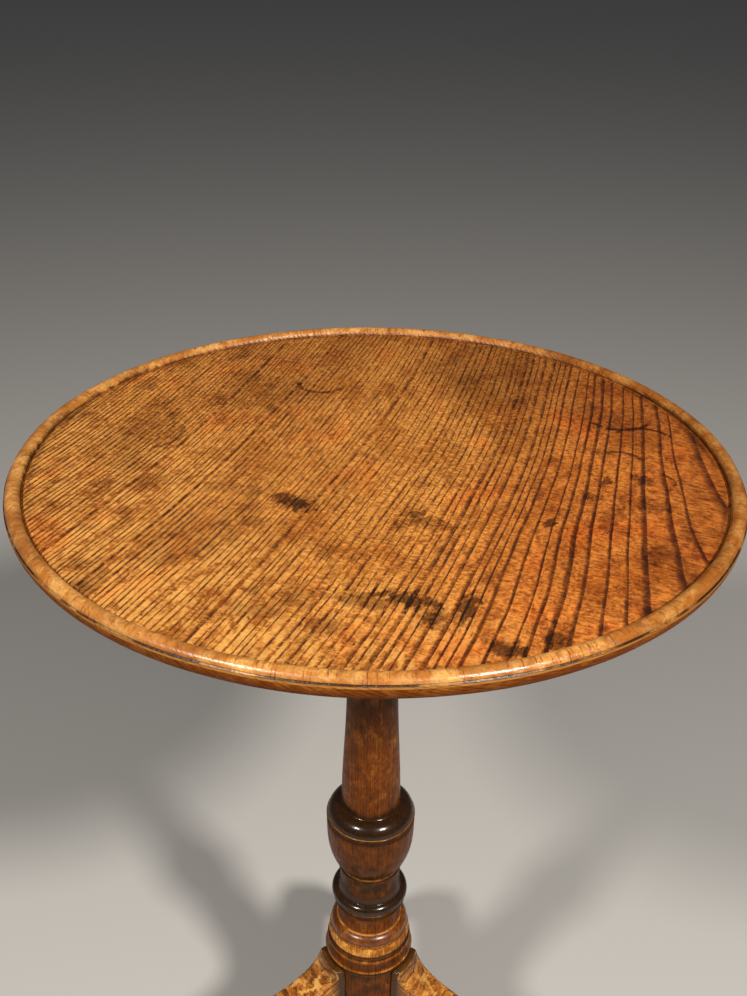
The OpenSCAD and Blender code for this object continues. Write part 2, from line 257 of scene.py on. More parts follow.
def unsettled(obj, amount, spread, seed):
    """Moves the surface in and out a little along its normals, as hand work leaves it."""
    place = mesh_array(obj.data, "vertices", "co", 3)
    normals = mesh_array(obj.data, "vertex_normals", "vector", 3)
    shift = Vector((seed, 0, 0))
    swell = [noise.noise(Vector(p) / (spread * MM) + shift) for p in place]
    place += normals * (np.array(swell)[:, None] * amount * MM)
    obj.data.vertices.foreach_set("co", place.ravel())
    obj.data.update()


def prism(name, outline, start, end):
    """A solid with an outline of (Y, Z) points, reaching from X start to X end, in millimetres."""
    count = len(outline)
    verts = [(x * MM, y * MM, z * MM) for x in (start, end) for y, z in outline]
    faces = [tuple(range(count))[::-1], tuple(range(count, 2 * count))]
    faces += [(i, (i + 1) % count, count + (i + 1) % count, count + i) for i in range(count)]
    obj = new_object(name, verts, faces)
    face_outwards(obj)
    return obj


def pin(place, axis, outline, segments=64):
    """A small turned solid standing at place along an axis. Its outline is (radius, height)."""
    made = lathe("pin", outline, segments, 0.01)
    made.data.attributes.remove(made.data.attributes["hollow"])
    turn = Vector((0, 0, 1)).rotation_difference(Vector(axis)).to_matrix().to_4x4()
    made.data.transform(Matrix.Translation(Vector(place) * MM) @ turn)
    return made


def carve(obj, *cutters):
    """Cuts solids out of an object and deletes them."""
    cutter = join(*cutters)
    modify(obj, "BOOLEAN", operation="DIFFERENCE", object=cutter, solver="EXACT")
    bpy.data.objects.remove(cutter)


def even_shading(obj):
    """Smooth shading with crisp arrises and flat faces that stay flat."""
    sharp = math.radians(50)
    obj.data.shade_smooth()
    bm = bmesh.new()
    bm.from_mesh(obj.data)
    for edge in bm.edges:
        edge.smooth = len(edge.link_faces) == 2 and edge.calc_face_angle(0) < sharp
    bm.to_mesh(obj.data)
    bm.free()
    obj.modifiers.new("shading", "WEIGHTED_NORMAL").keep_sharp = True


def grain_mesh(obj, size, smoothing, seed):
    """Fuses an object's solids into one worn skin of small even faces."""
    modify(obj, "REMESH", mode="VOXEL", voxel_size=size * MM)
    modify(obj, "SMOOTH", factor=0.5, iterations=smoothing)
    unsettled(obj, amount=0.3, spread=28, seed=seed)
    obj.data.shade_smooth()
    set_hollow(obj, rounds=12, full=0.35)


# -------------------- shader graphs

class Graph:
    """A material and short calls for the nodes that it is made from."""

    def __init__(self, name):
        self.material = bpy.data.materials.new(name)
        self.material.use_nodes = True
        self.tree = self.material.node_tree
        self.bsdf = self.tree.nodes["Principled BSDF"]
        self.object = self.node("ShaderNodeTexCoord").outputs["Object"]

    def node(self, kind, inputs=(), **settings):
        made = self.tree.nodes.new(kind)
        for key, value in settings.items():
            setattr(made, key, value)
        for key, value in dict(inputs).items():
            self.put(made.inputs[key], value)
        return made

    def put(self, socket, value):
        if isinstance(value, bpy.types.NodeSocket):
            self.tree.links.new(value, socket)
        elif isinstance(value, (tuple, list)) and socket.type == "RGBA" and len(value) == 3:
            socket.default_value = (*value, 1)
        else:
            socket.default_value = value

    def math(self, operation, a, b=0.0, c=0.0, clamp=False):
        made = self.node("ShaderNodeMath", operation=operation, use_clamp=clamp)
        for socket, value in zip(made.inputs, (a, b, c)):
            self.put(socket, value)
        return made.outputs[0]

    def add(self, a, b):
        return self.math("ADD", a, b)

    def minus(self, a, b):
        return self.math("SUBTRACT", a, b)

    def times(self, a, b):
        return self.math("MULTIPLY", a, b)

    def times_add(self, a, b, c, clamp=False):
        return self.math("MULTIPLY_ADD", a, b, c, clamp)

    def larger(self, a, b):
        return self.math("MAXIMUM", a, b)

    def apart(self, a, b):
        return self.math("ABSOLUTE", self.minus(a, b))

    def dot(self, vector, direction):
        made = self.node("ShaderNodeVectorMath", operation="DOT_PRODUCT")
        self.put(made.inputs[0], vector)
        self.put(made.inputs[1], tuple(direction))
        return made.outputs["Value"]

    def vector(self, x, y, z):
        return self.node("ShaderNodeCombineXYZ", {"X": x, "Y": y, "Z": z}).outputs[0]

    def noise(self, vector, scale=1.0, detail=2.0, roughness=0.5):
        made = self.node("ShaderNodeTexNoise", {
            "Vector": vector, "Scale": scale, "Detail": detail, "Roughness": roughness})
        return made.outputs["Fac"]

    def step(self, value, start, end):
        """0 up to start and 1 beyond end, or the other way about where end is the smaller."""
        made = self.node("ShaderNodeMapRange", {
            "Value": value, "From Min": start, "From Max": end}, interpolation_type="SMOOTHSTEP")
        return made.outputs[0]

    def mix(self, factor, a, b, blend="MIX"):
        made = self.node("ShaderNodeMix", data_type="RGBA", blend_type=blend)
        self.put(made.inputs["Factor"], factor)
        self.put(made.inputs[6], a)
        self.put(made.inputs[7], b)
        return made.outputs[2]

    def lay(self, colour, mask, strength, over, blend="MIX"):
        """The colour with another laid over it where the mask is 1."""
        return self.mix(self.times(mask, strength), colour, over, blend)

    def attribute(self, name):
        return self.node("ShaderNodeAttribute", attribute_name=name).outputs["Fac"]

    def bump(self, height, distance):
        made = self.node("ShaderNodeBump", {"Height": height, "Strength": 1.0,
                                            "Distance": distance})
        self.put(self.bsdf.inputs["Normal"], made.outputs[0])

    def set(self, **sockets):
        for key, value in sockets.items():
            self.put(self.bsdf.inputs[key.replace("_", " ")], value)


def paint(obj, graph):
    """Gives an object one material."""
    obj.data.materials.clear()
    obj.data.materials.append(graph.material)


# Oak colours, linear
OAK = {
    "worn": (0.72, 0.385, 0.100),
    "bead": (0.66, 0.350, 0.098),
    "pale": (0.80, 0.375, 0.078),
    "honey": (0.45, 0.155, 0.022),
    "amber": (0.36, 0.118, 0.015),
    "brown": (0.155, 0.037, 0.0025),
    "red": (0.155, 0.034, 0.005),
    "rust": (0.82, 0.50, 0.33),
    "tan": (0.60, 0.52, 0.46),
    "umber": (0.34, 0.25, 0.19),
    "umber_deep": (0.048, 0.0155, 0.0022),
    "pore": (0.050, 0.012, 0.0025),
    "black": (0.011, 0.0052, 0.0018),
    "dry": (0.25, 0.135, 0.062),
    "dry_dark": (0.115, 0.058, 0.027),
}


class Oak(Graph):
    """Oak with growth rings cut from a log: dark open pores along each ring, and ray flecks.

    u, v and w are millimetres across, along and through the grain.
    """

    def __init__(self, name, across, along, origin=(0, 0, 0), pith=(260, 275), slope=0.05,
                 bow=(-0.011, 0.000235), ring=3.05, waviness=5.0, band=(0.46, -0.0007)):
        super().__init__(name)
        across, along = Vector(across).normalized(), Vector(along).normalized()
        through = across.cross(along)
        moved = self.node("ShaderNodeVectorMath", operation="SUBTRACT")
        self.put(moved.inputs[0], self.object)
        self.put(moved.inputs[1], tuple(origin))
        place = moved.outputs[0]
        self.u = self.dot(place, across / MM)
        self.v = self.dot(place, along / MM)
        self.w = self.dot(place, through / MM)
        drift = self.figure(self.u, (90, 210, 90), 3, 0.45)
        bend = self.times_add(self.v, bow[1], bow[0])
        u = self.times_add(self.v, bend, self.u)
        u = self.times_add(self.minus(drift, 0.5), 2 * waviness, u)
        from_pith = self.minus(u, pith[0])
        depth = self.minus(self.times_add(self.v, -slope, pith[1]), self.w)
        square = self.times_add(depth, depth, self.times(from_pith, from_pith))
        radius = self.times(self.math("SQRT", square), 1 / ring)
        uneven = self.noise(self.vector(self.times(radius, 0.45), 0.0, 0.0), detail=2)
        radius = self.times_add(uneven, 2.4, radius)
        phase = self.math("FRACT", radius)
        width = self.times_add(self.u, band[1], band[0])
        part = self.math("DIVIDE", phase, width)
        over = self.times(radius, ring)
        streak = self.figure(over, (0.8, 9, 1.1), 3, 0.65)
        fine = self.figure(over, (0.62, 5, 0.6), 2, 0.6)
        fleck = self.figure(self.u, (3.4, 1.5, 1.5), 2)
        grit = self.figure(over, (1.25, 2.6, 1.2), 3, 0.7)
        self.early = self.times(self.step(phase, 0.0, 0.06), self.step(part, 1.0, 0.3))
        self.pore = self.times(self.times_add(self.early, 0.85, 0.15),
                               self.step(streak, 0.44, 0.58))
        self.fine = self.step(fine, 0.50, 0.70)
        self.fleck = self.step(fleck, 0.55, 0.66)
        self.tick = self.step(fleck, 0.42, 0.32)
        self.grit = self.step(grit, 0.44, 0.60)
        self.blotch = self.figure(self.u, (55, 75, 55), 4, 0.6)
        self.mottle = self.figure(self.u, (9, 14, 9), 4, 0.65)
        self.coarse = self.figure(self.u, (21, 30, 21), 3, 0.55)
        self.specks = self.figure(self.u, (5, 8, 5), 3, 0.6)

    def figure(self, across, sizes, detail, roughness=0.5):
        """Noise with features about sizes long across, along and through the grain."""
        place = [self.times(p, 1 / size) for p, size in zip((across, self.v, self.w), sizes)]
        return self.noise(self.vector(*place), detail=detail, roughness=roughness)

    def spot(self, u, v, wide, long):
        """A stain's mask: 1 in its middle and 0 outside, with a ragged edge."""
        du = self.times(self.minus(self.u, u), 1 / wide)
        dv = self.times(self.minus(self.v, v), 1 / long)
        away = self.math("SQRT", self.times_add(du, du, self.times(dv, dv)))
        shift = self.times(self.minus(self.mottle, 0.5), 1.9)
        shift = self.times_add(self.minus(self.specks, 0.5), 2.28, shift)
        shift = self.times_add(self.pore, -0.35, shift)
        return self.step(self.add(away, shift), 1.18, 0.52)

    def mark(self, u, v, radius, start, end, wide):
        """Part of a ring mark left by a glass or a pot: an arc between two angles."""
        du = self.minus(self.u, u)
        dv = self.minus(self.v, v)
        away = self.math("SQRT", self.times_add(du, du, self.times(dv, dv)))
        line = self.step(self.apart(away, radius), wide, wide * 0.3)
        angle = self.math("ARCTAN2", dv, du)
        fade = 25
        inside = self.times(self.step(angle, math.radians(start), math.radians(start + fade)),
                            self.step(angle, math.radians(end), math.radians(end - fade)))
        broken = self.step(self.mottle, 0.30, 0.46)
        return self.times(self.times(line, inside), broken)

    def wood_colour(self, pale, base, deep, pore_strength=0.85):
        colour = self.mix(self.step(self.blotch, 0.34, 0.66), base, pale)
        for mask, strength in ((self.step(self.mottle, 0.46, 0.68), 0.55), (self.grit, 0.58),
                               (self.early, 0.66), (self.fine, 0.50), (self.tick, 0.45)):
            colour = self.lay(colour, mask, strength, deep)
        colour = self.lay(colour, self.fleck, 0.45, OAK["pale"])
        return self.lay(colour, self.pore, pore_strength, OAK["pore"])

    def relief(self):
        """Height of the surface: the pores are open and the early wood has worn a little."""
        height = 0.6
        for mask, depth in ((self.pore, 0.55), (self.early, 0.25), (self.fine, 0.25),
                            (self.grit, 0.18), (self.mottle, -0.35)):
            height = self.times_add(mask, -depth, height)
        return height


GRAIN_TURN = math.radians(9)
ACROSS = (-math.sin(GRAIN_TURN), math.cos(GRAIN_TURN), 0)
ALONG = (-math.cos(GRAIN_TURN), -math.sin(GRAIN_TURN), 0)

# Stains on the top: across and along the grain from its middle, half width, half length,
# strength, in millimetres
STAINS = [
    (-27, -76, 15, 9, 1.0), (-38, -72, 8, 6, 0.9), (64, -66, 17, 8, 0.72), (50, -60, 8, 7, 0.85),
    (-173, -30, 26, 50, 0.40), (-43, -109, 10, 8, 0.70), (33, 173, 52, 62, 0.42),
    (55, -163, 16, 8, 0.75), (80, -152, 20, 8, 0.95), (113, -148, 7, 17, 0.95),
    (98, -165, 8, 10, 0.90), (143, -176, 12, 8, 0.95), (165, -158, 7, 13, 0.90),
    (43, -194, 14, 9, 0.75), (8, -193, 10, 8, 0.62), (-98, -215, 10, 10, 0.70),
    (133, -38, 5, 6, 0.95), (167, -16, 8, 22, 0.70), (155, 32, 4, 9, 0.90),
    (-70, -140, 26, 36, 0.50), (150, -60, 16, 46, 0.42), (20, -172, 14, 16, 0.50),
    (92, 40, 30, 60, 0.22), (-120, 60, 40, 46, 0.22), (-10, -20, 30, 40, 0.16),
    (190, 10, 14, 9, 0.70), (176, 44, 10, 7, 0.80), (202, -48, 8, 16, 0.75), (150, 8, 8, 6, 0.75),
    (128, 130, 26, 22, 0.42), (60, 178, 30, 14, 0.50), (-150, 96, 18, 10, 0.45),
    (-160, -70, 22, 12, 0.45), (-128, -88, 12, 14, 0.50),
]
# Ring marks: across, along, radius, start and end angle in degrees, half width, strength
MARKS = [
    (-89, 108, 18, -178, 5, 3.4, 0.9), (-122, 84, 14, -140, 40, 2.4, 0.6),
    (168, 102, 23, 25, 175, 2.8, 1.0), (142, 139, 24, -150, 5, 3.0, 1.0),
    (158, 66, 14, 10, 160, 2.6, 0.9), (186, 44, 13, -60, 100, 2.4, 0.9),
    (-175, -22, 30, -75, 55, 2.8, 0.7),
]


def top_oak():
    g = Oak("oak_top", ACROSS, ALONG, origin=(0, 0, RIM_Z))
    from_middle = g.math("SQRT", g.times_add(g.u, g.u, g.times(g.v, g.v)))
    rim = RIM_R / MM
    field = g.step(from_middle, rim - 11.5, rim - 13.0)
    under = g.step(g.w, -18.7, -19.4)
    side = g.step(g.w, -4.6, -5.2)
    above = g.step(side, 1.0, 0.0)
    outside = g.times(side, g.step(from_middle, rim - 13, rim - 12))

    # Oiled oak: golden where rubbing is heaviest, redder and darker to the farther side and the
    # edge. This is partly the oak's own colour and partly painted light: painted shade falls off
    # toward the farther side and the right, and the near side is painted paler.
    near = g.noise(g.vector(g.times(g.u, 1 / 150), g.times(g.v, 1 / 190), 0.0), detail=2)
    far_patina_and_shade = g.times_add(g.v, 1 / 640, g.times_add(g.u, 1 / 1700, near))
    colour = g.wood_colour(OAK["pale"], OAK["honey"], OAK["red"])
    # Painted shade, with the oak's own colour: darker toward the farther side and the right
    colour = g.lay(colour, g.step(far_patina_and_shade, 0.50, 0.90), 0.80, OAK["tan"], "MULTIPLY")
    # Painted shade, with the oak's own colour: redder and darker toward the right
    colour = g.lay(colour, g.step(g.u, 30, 150), 0.62, OAK["rust"], "MULTIPLY")
    bold = g.times(g.early, g.step(g.u, 45, 130))
    colour = g.lay(colour, bold, 0.62, OAK["pore"])
    # Painted light, with rubbing: the late wood is paler toward the near side
    rubbed_and_lit = g.times(g.step(far_patina_and_shade, 0.42, 0.18), g.step(g.early, 0.30, 0.0))
    colour = g.lay(colour, g.times(rubbed_and_lit, g.step(g.mottle, 0.58, 0.42)), 0.5, OAK["worn"])
    colour = g.lay(colour, g.step(g.blotch, 0.48, 0.68), 0.75, OAK["rust"], "MULTIPLY")
    grime = g.step(g.coarse, 0.56, 0.74)
    colour = g.lay(colour, g.times(grime, field), 0.60, OAK["umber"], "MULTIPLY")

    stain = 0.0
    for mask, places in ((g.spot, STAINS), (g.mark, MARKS)):
        for *place, strength in places:
            stain = g.larger(stain, g.times(mask(*place), strength))
    near_side = g.step(g.v, -95, -190)
    speckle = g.times(g.step(g.specks, 0.63, 0.71), g.times_add(near_side, 0.75, 0.2))
    stain = g.times(g.larger(stain, speckle), field)
    open_grain = g.larger(g.pore, g.times(g.fine, 0.8))
    stain = g.times(stain, g.times_add(open_grain, 0.25, 0.85, True))
    colour = g.mix(stain, colour, OAK["umber"], "MULTIPLY")
    colour = g.lay(colour, g.step(stain, 0.55, 1.0), 0.72, OAK["black"])

    # Dirt left along the foot of the bead, thickest at the ends of the grain
    foot = g.apart(from_middle, BEAD_FOOT)
    wander = g.times_add(g.mottle, 4.4, g.times(g.step(g.blotch, 0.5, 0.66), 3.2))
    across_ends = g.math("ABSOLUTE", g.dot(g.vector(g.u, g.v, 0.0), (0.93 / rim, 0.36 / rim, 0)))
    wander = g.times(wander, g.times_add(g.step(across_ends, 0.75, 0.98), 1.0, 1.0))
    dirt = g.times(g.step(foot, wander, g.times(wander, 0.4)), above)
    dirt = g.times(dirt, g.times_add(g.step(across_ends, 0.35, 0.95), 0.45, 0.55))
    line = g.step(g.apart(from_middle, BEAD_FOOT + 1), 1.5, 0.5)
    dirt = g.larger(dirt, g.times(g.times(line, 0.88), above))
    crease = g.times(g.step(g.attribute("hollow"), 0.08, 0.45), above)
    crease = g.times(crease, g.times_add(g.step(g.coarse, 0.36, 0.56), 0.6, 0.4))
    colour = g.mix(g.larger(dirt, crease), colour, OAK["black"])
    wide_dirt = g.times(g.step(from_middle, rim - 40, rim - 14), g.step(g.coarse, 0.45, 0.68))
    colour = g.lay(colour, g.times(wide_dirt, field), 0.35, OAK["umber"], "MULTIPLY")

    # The bead is worn pale by rubbing and crossed by small dark checks, with painted shade toward
    # its farther right
    bead = g.times(g.step(from_middle, rim - 11.5, rim - 9.5), above)
    worn = g.mix(g.step(g.mottle, 0.42, 0.66), OAK["bead"], OAK["honey"])
    worn = g.lay(worn, g.step(g.coarse, 0.42, 0.64), 0.8, OAK["amber"])
    worn = g.lay(worn, g.grit, 0.45, OAK["amber"])
    worn = g.lay(worn, g.step(g.blotch, 0.45, 0.62), 0.4, OAK["umber"], "MULTIPLY")
    # Painted shade: the bead is darker toward its farther right, where it also shines less
    dull = g.step(g.times_add(g.v, 0.5, g.u), 70, 230)
    worn = g.lay(worn, dull, 0.85, OAK["tan"], "MULTIPLY")
    turn = g.math("ARCTAN2", g.v, g.u)
    tick = g.noise(g.vector(g.times(turn, 190), g.times(from_middle, 0.06), g.times(g.w, 0.05)),
                   detail=2, roughness=0.6)
    tick = g.times(g.step(tick, 0.56, 0.64), g.step(g.mottle, 0.42, 0.54))
    worn = g.lay(worn, tick, 0.8, OAK["brown"])
    worn = g.lay(worn, g.pore, 0.35, OAK["red"])
    colour = g.lay(colour, bead, 0.92, worn)

    # Moulding outside the rim: redder, with a black line in the quirk and pale arrises
    edge = g.mix(g.step(g.mottle, 0.30, 0.56), OAK["amber"], OAK["brown"])
    edge = g.lay(edge, g.grit, 0.4, OAK["red"])
    edge = g.lay(edge, g.step(g.w, -6, -10), 0.6, OAK["red"])
    edge = g.lay(edge, g.pore, 0.8, OAK["pore"])
    colour = g.lay(colour, outside, 0.92, edge)
    quirk_w, arris_w, low_arris_w = -4.35, -5.75, -18.9
    beyond = g.step(from_middle, rim - 3.2, rim - 2.2)
    quirk = g.step(g.apart(g.w, quirk_w), 0.75, 0.3)
    quirk = g.times(quirk, g.times_add(g.step(g.coarse, 0.40, 0.58), 0.55, 0.38))
    colour = g.lay(colour, quirk, beyond, OAK["black"])
    broken = g.times_add(g.step(g.mottle, 0.36, 0.56), 0.7, 0.2)
    upper = g.step(g.apart(g.w, arris_w), 0.85, 0.35)
    lower = g.step(g.apart(g.w, low_arris_w), 0.75, 0.3)
    arris = g.times(g.times(g.larger(upper, lower), beyond), broken)
    low_arris = g.times(g.times(lower, g.step(from_middle, BEAD_FOOT - 0.6, BEAD_FOOT)), broken)
    pale = g.larger(g.times(arris, 0.45), g.times(low_arris, 0.75))
    colour = g.mix(pale, colour, OAK["worn"])

    # The underside was never finished: dry, brown and hollowed across by a plane
    dry = g.mix(g.step(g.blotch, 0.35, 0.65), OAK["dry"], OAK["dry_dark"])
    dry = g.lay(dry, g.pore, 0.75, OAK["black"])
    dry = g.lay(dry, g.step(g.coarse, 0.55, 0.75), 0.5, OAK["dry_dark"], "MULTIPLY")
    colour = g.mix(under, colour, dry)

    rough = g.times_add(g.coarse, 0.30, 0.30)
    rough = g.times_add(g.pore, 0.30, rough)
    rough = g.times_add(g.times(field, g.mottle), 0.14, rough)
    rough = g.times_add(bead, -0.24, rough)
    rough = g.times_add(under, 0.4, rough, True)
    shine = g.times_add(outside, -0.14, 0.16)
    shine = g.times_add(g.times(bead, g.minus(1.0, dull)), 0.45, shine)
    g.set(Base_Color=colour, Roughness=rough, Specular_IOR_Level=shine)

    height = g.times(g.relief(), g.times_add(bead, -0.75, 1.0))
    height = g.times_add(g.times(tick, bead), -0.1, height)
    height = g.times_add(g.coarse, 0.9, height)
    scallop = g.math("SINE", g.times_add(g.u, 2 * math.pi / 34, g.times(g.blotch, 9)))
    height = g.times_add(g.times(scallop, under), 0.9, height)
    g.bump(height, 0.34 * MM)
    return g


def column_oak():
    """Turned oak: pale where hands and dusters rub it, almost black on the shoulder and ring, with
    painted shade darkening the top of the shaft.
    """
    g = Oak("oak_column", (1, 0, 0), (0, 0, 1), pith=(-150, -260), slope=0.004, bow=(0, 0),
            ring=2.3, waviness=2.2, band=(0.5, 0.0))
    # How dark the column is: the wood's own colour, with painted shade at the top of the shaft
    patina = g.attribute("patina")
    polished = g.step(patina, 0.78, 0.97)
    uneven = g.times(g.minus(g.mottle, 0.5), 0.75)
    uneven = g.times_add(g.minus(g.specks, 0.5), 0.60, uneven)
    uneven = g.times_add(g.minus(g.blotch, 0.5), 0.30, uneven)
    uneven = g.times(uneven, g.times_add(polished, -0.75, 1.0))
    dark = g.math("ADD", patina, uneven, clamp=True)
    ramp = g.node("ShaderNodeValToRGB", {"Fac": dark})
    shades = [(0.0, "pale"), (0.22, "amber"), (0.5, "brown"), (0.78, "umber_deep"), (1.0, "black")]
    while len(ramp.color_ramp.elements) < len(shades):
        ramp.color_ramp.elements.new(0.5)
    for element, (place, name) in zip(ramp.color_ramp.elements, shades):
        element.position = place
        element.color = (*OAK[name], 1)
    colour = ramp.outputs[0]
    colour = g.lay(colour, g.early, 0.18, OAK["umber"], "MULTIPLY")
    colour = g.lay(colour, g.fine, 0.45, OAK["umber_deep"])
    colour = g.lay(colour, g.grit, 0.32, OAK["umber_deep"])
    colour = g.lay(colour, g.pore, 0.55, OAK["black"])
    hollow = g.attribute("hollow")
    colour = g.lay(colour, g.step(hollow, 0.42, 0.95), 0.9, OAK["black"])
    rub = g.times(g.step(hollow, -0.30, -0.85), g.step(g.mottle, 0.34, 0.55))
    rub = g.times(rub, g.step(patina, 0.90, 0.60))
    colour = g.lay(colour, rub, 0.42, OAK["pale"])
    rough = g.times_add(g.mottle, 0.22, 0.16)
    rough = g.times_add(g.step(hollow, 0.1, 0.6), 0.35, rough)
    rough = g.times_add(g.pore, 0.22, rough)
    height = g.node("ShaderNodeSeparateXYZ", {"Vector": g.object}).outputs["Z"]
    roll = g.step(g.apart(height, (URN - 137) * MM), 6 * MM, 3 * MM)
    coat = g.times_add(polished, 0.60, g.times_add(roll, 0.8, 0.14))
    g.set(Base_Color=colour, Roughness=rough, Specular_IOR_Level=0.04, Coat_Weight=coat,
          Coat_Roughness=g.times_add(roll, 0.10, 0.17))
    g.bump(g.relief(), 0.16 * MM)
    return g


def leg_oak(name, angle):
    """Oak with its grain along one leg: worn honey above with painted shade on its flanks, dark
    with painted shade and dirt near the column.
    """
    out = Vector((math.cos(math.radians(angle)), math.sin(math.radians(angle)), 0))
    sideways = Vector((-out.y, out.x, 0))
    g = Oak(name, sideways, out * 0.78 - Vector((0, 0, 0.63)), pith=(40 + angle * 0.05, 190),
            slope=0.03, bow=(0.02, 0.0001), ring=3.4, waviness=3.0)
    colour = g.wood_colour(OAK["pale"], OAK["honey"], OAK["red"], 0.7)
    colour = g.lay(colour, g.step(g.blotch, 0.50, 0.72), 0.5, OAK["rust"], "MULTIPLY")
    colour = g.lay(colour, g.step(g.coarse, 0.54, 0.72), 0.45, OAK["umber"], "MULTIPLY")
    # The front right leg is painted paler, as if a pool of light fell on it; on the others this is
    # only worn patches
    wear_and_painted_light = 0.85 if angle == LEG_ANGLES["leg_front_right"] else 0.45
    colour = g.lay(colour, g.step(g.mottle, 0.50, 0.36), wear_and_painted_light, OAK["worn"])
    spot = g.node("ShaderNodeVectorMath", {0: g.object, 1: (1 / MM, 1 / MM, 0)},
                  operation="MULTIPLY").outputs[0]
    away = g.node("ShaderNodeVectorMath", {0: spot}, operation="LENGTH").outputs["Value"]
    facing = g.dot(g.node("ShaderNodeNewGeometry").outputs["Normal"], (0, 0, 1))
    # Painted shade: faces that turn away from above are darker
    flank = g.step(facing, 0.45, -0.25)
    colour = g.lay(colour, flank, 0.72, OAK["umber"], "MULTIPLY")
    # Painted shade: the flanks are darker still beside the drum
    beside = g.times(g.step(away, 52, 42), g.step(facing, 0.65, 0.30))
    colour = g.lay(colour, beside, 0.85, OAK["umber_deep"])
    hollow = g.attribute("hollow")
    rub = g.times(g.step(hollow, -0.80, -1.0), g.times_add(g.mottle, 1.1, 0.0, True))
    rub = g.times(rub, g.times_add(g.step(away, 70, 45), 0.6, 0.4))
    colour = g.lay(colour, rub, 0.6, OAK["worn"])
    # Painted shade and dirt: the strip of the leg's top under the column's arris is dark
    shelf = g.step(away, ARRIS_S + 0.8, ARRIS_S - 0.4)
    shelf = g.times(shelf, g.times_add(g.coarse, 0.3, 0.8, True))
    colour = g.mix(shelf, colour, OAK["umber_deep"])
    colour = g.lay(colour, g.step(hollow, 0.15, 0.7), 0.7, OAK["black"])
    speck = g.times(g.step(g.specks, 0.62, 0.72), g.step(away, 120, 60))
    colour = g.lay(colour, speck, 0.7, OAK["black"])
    rough = g.times_add(g.mottle, 0.25, 0.20)
    rough = g.times_add(flank, 0.16, rough)
    rough = g.times_add(g.pore, 0.2, rough)
    g.set(Base_Color=colour, Roughness=rough, Specular_IOR_Level=0.15, Coat_Weight=0.35,
          Coat_Roughness=0.10)
    height = g.times_add(g.coarse, 0.8, g.relief())
    g.bump(height, 0.28 * MM)
    return g


def dry_oak(name, across, along, pith=(120, 150)):
    """Unfinished oak under the top: brown, dusty and open in the grain."""
    g = Oak(name, across, along, pith=pith, slope=0.02, bow=(0, 0.0001), ring=3.4, waviness=3)
    colour = g.mix(g.step(g.blotch, 0.35, 0.65), OAK["dry"], OAK["dry_dark"])
    colour = g.lay(colour, g.early, 0.35, OAK["dry_dark"])
    colour = g.lay(colour, g.fine, 0.35, OAK["black"])
    colour = g.lay(colour, g.pore, 0.7, OAK["black"])
    colour = g.lay(colour, g.step(g.coarse, 0.52, 0.72), 0.55, OAK["umber"], "MULTIPLY")
    hollow = g.attribute("hollow")
    colour = g.lay(colour, g.step(hollow, -0.12, -0.6), 0.5, OAK["honey"])
    rough = g.times_add(g.mottle, 0.30, 0.52)
    g.set(Base_Color=colour, Roughness=rough)
    height = g.times_add(g.coarse, 0.9, g.relief())
    g.bump(height, 0.34 * MM)
    return g


def forged_iron():
    g = Graph("forged_iron")
    small = g.noise(g.object, 900, 5, 0.65)
    broad = g.noise(g.object, 90, 3, 0.55)
    rust = g.step(g.times_add(broad, 0.6, g.times(small, 0.4)), 0.47, 0.60)
    grey = g.mix(small, (0.030, 0.028, 0.027), (0.085, 0.078, 0.072))
    brown = g.mix(small, (0.055, 0.020, 0.009), (0.19, 0.072, 0.026))
    g.set(Base_Color=g.mix(rust, grey, brown), Metallic=g.times_add(rust, -0.8, 0.95),
          Roughness=g.times_add(rust, 0.32, 0.42))
    height = g.times_add(rust, 0.5, g.add(small, g.times(broad, 2.0)))
    g.bump(height, 0.22 * MM)
    return g


def old_brass():
    g = Graph("old_brass")
    small = g.noise(g.object, 700, 4, 0.6)
    broad = g.noise(g.object, 110, 3, 0.55)
    scratch = g.noise(g.node("ShaderNodeVectorMath", {0: g.object, 1: (4200, 260, 900)},
                             operation="MULTIPLY").outputs[0], 1.0, 3, 0.6)
    tarnish = g.step(g.times_add(broad, 0.7, g.times(small, 0.3)), 0.36, 0.66)
    bright = g.mix(small, (0.38, 0.24, 0.085), (0.27, 0.165, 0.055))
    dull = g.mix(g.step(small, 0.4, 0.65), (0.150, 0.088, 0.032), (0.095, 0.068, 0.030))
    colour = g.mix(g.times(tarnish, 0.85), bright, dull)
    rough = g.times_add(tarnish, 0.28, g.times_add(scratch, 0.3, 0.14))
    g.set(Base_Color=colour, Metallic=g.times_add(tarnish, -0.25, 1.0), Roughness=rough)
    g.bump(g.times_add(scratch, 0.7, small), 0.08 * MM)
    return g


# -------------------- the top

def top_outline():
    """Half section of the top: up from the middle of its underside, over the rim to the dish."""
    rim, high, low = RIM_R / MM, RIM_Z / MM, UNDER_Z / MM
    ovolo, fillet, bead = 13.0, 1.2, 10.0
    edge = low + fillet + ovolo
    bead_high = high - edge - 1.6
    middle = rim - 0.8 - bead / 2
    field = high - 5.0
    return ([(0, low), (rim - ovolo, low)]
            + arc(rim - ovolo, edge, ovolo, ovolo, -90, 0, 16)
            + [(rim, edge + 1.4), (rim - 1.6, edge + 1.6)]
            + arc(middle, high - bead_high, bead / 2, bead_high, 0, 165, 22)
            + [(rim - bead - 1.6, field - 0.6), (rim - bead - 3, field), (0, field)])


def build_top():
    top = lathe("table_top", top_outline(), 384, 0.5, unevenness=0.35, longest=5.0)
    paint(top, top_oak())
    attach(top, "tilting_top")
    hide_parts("top")


# -------------------- the column

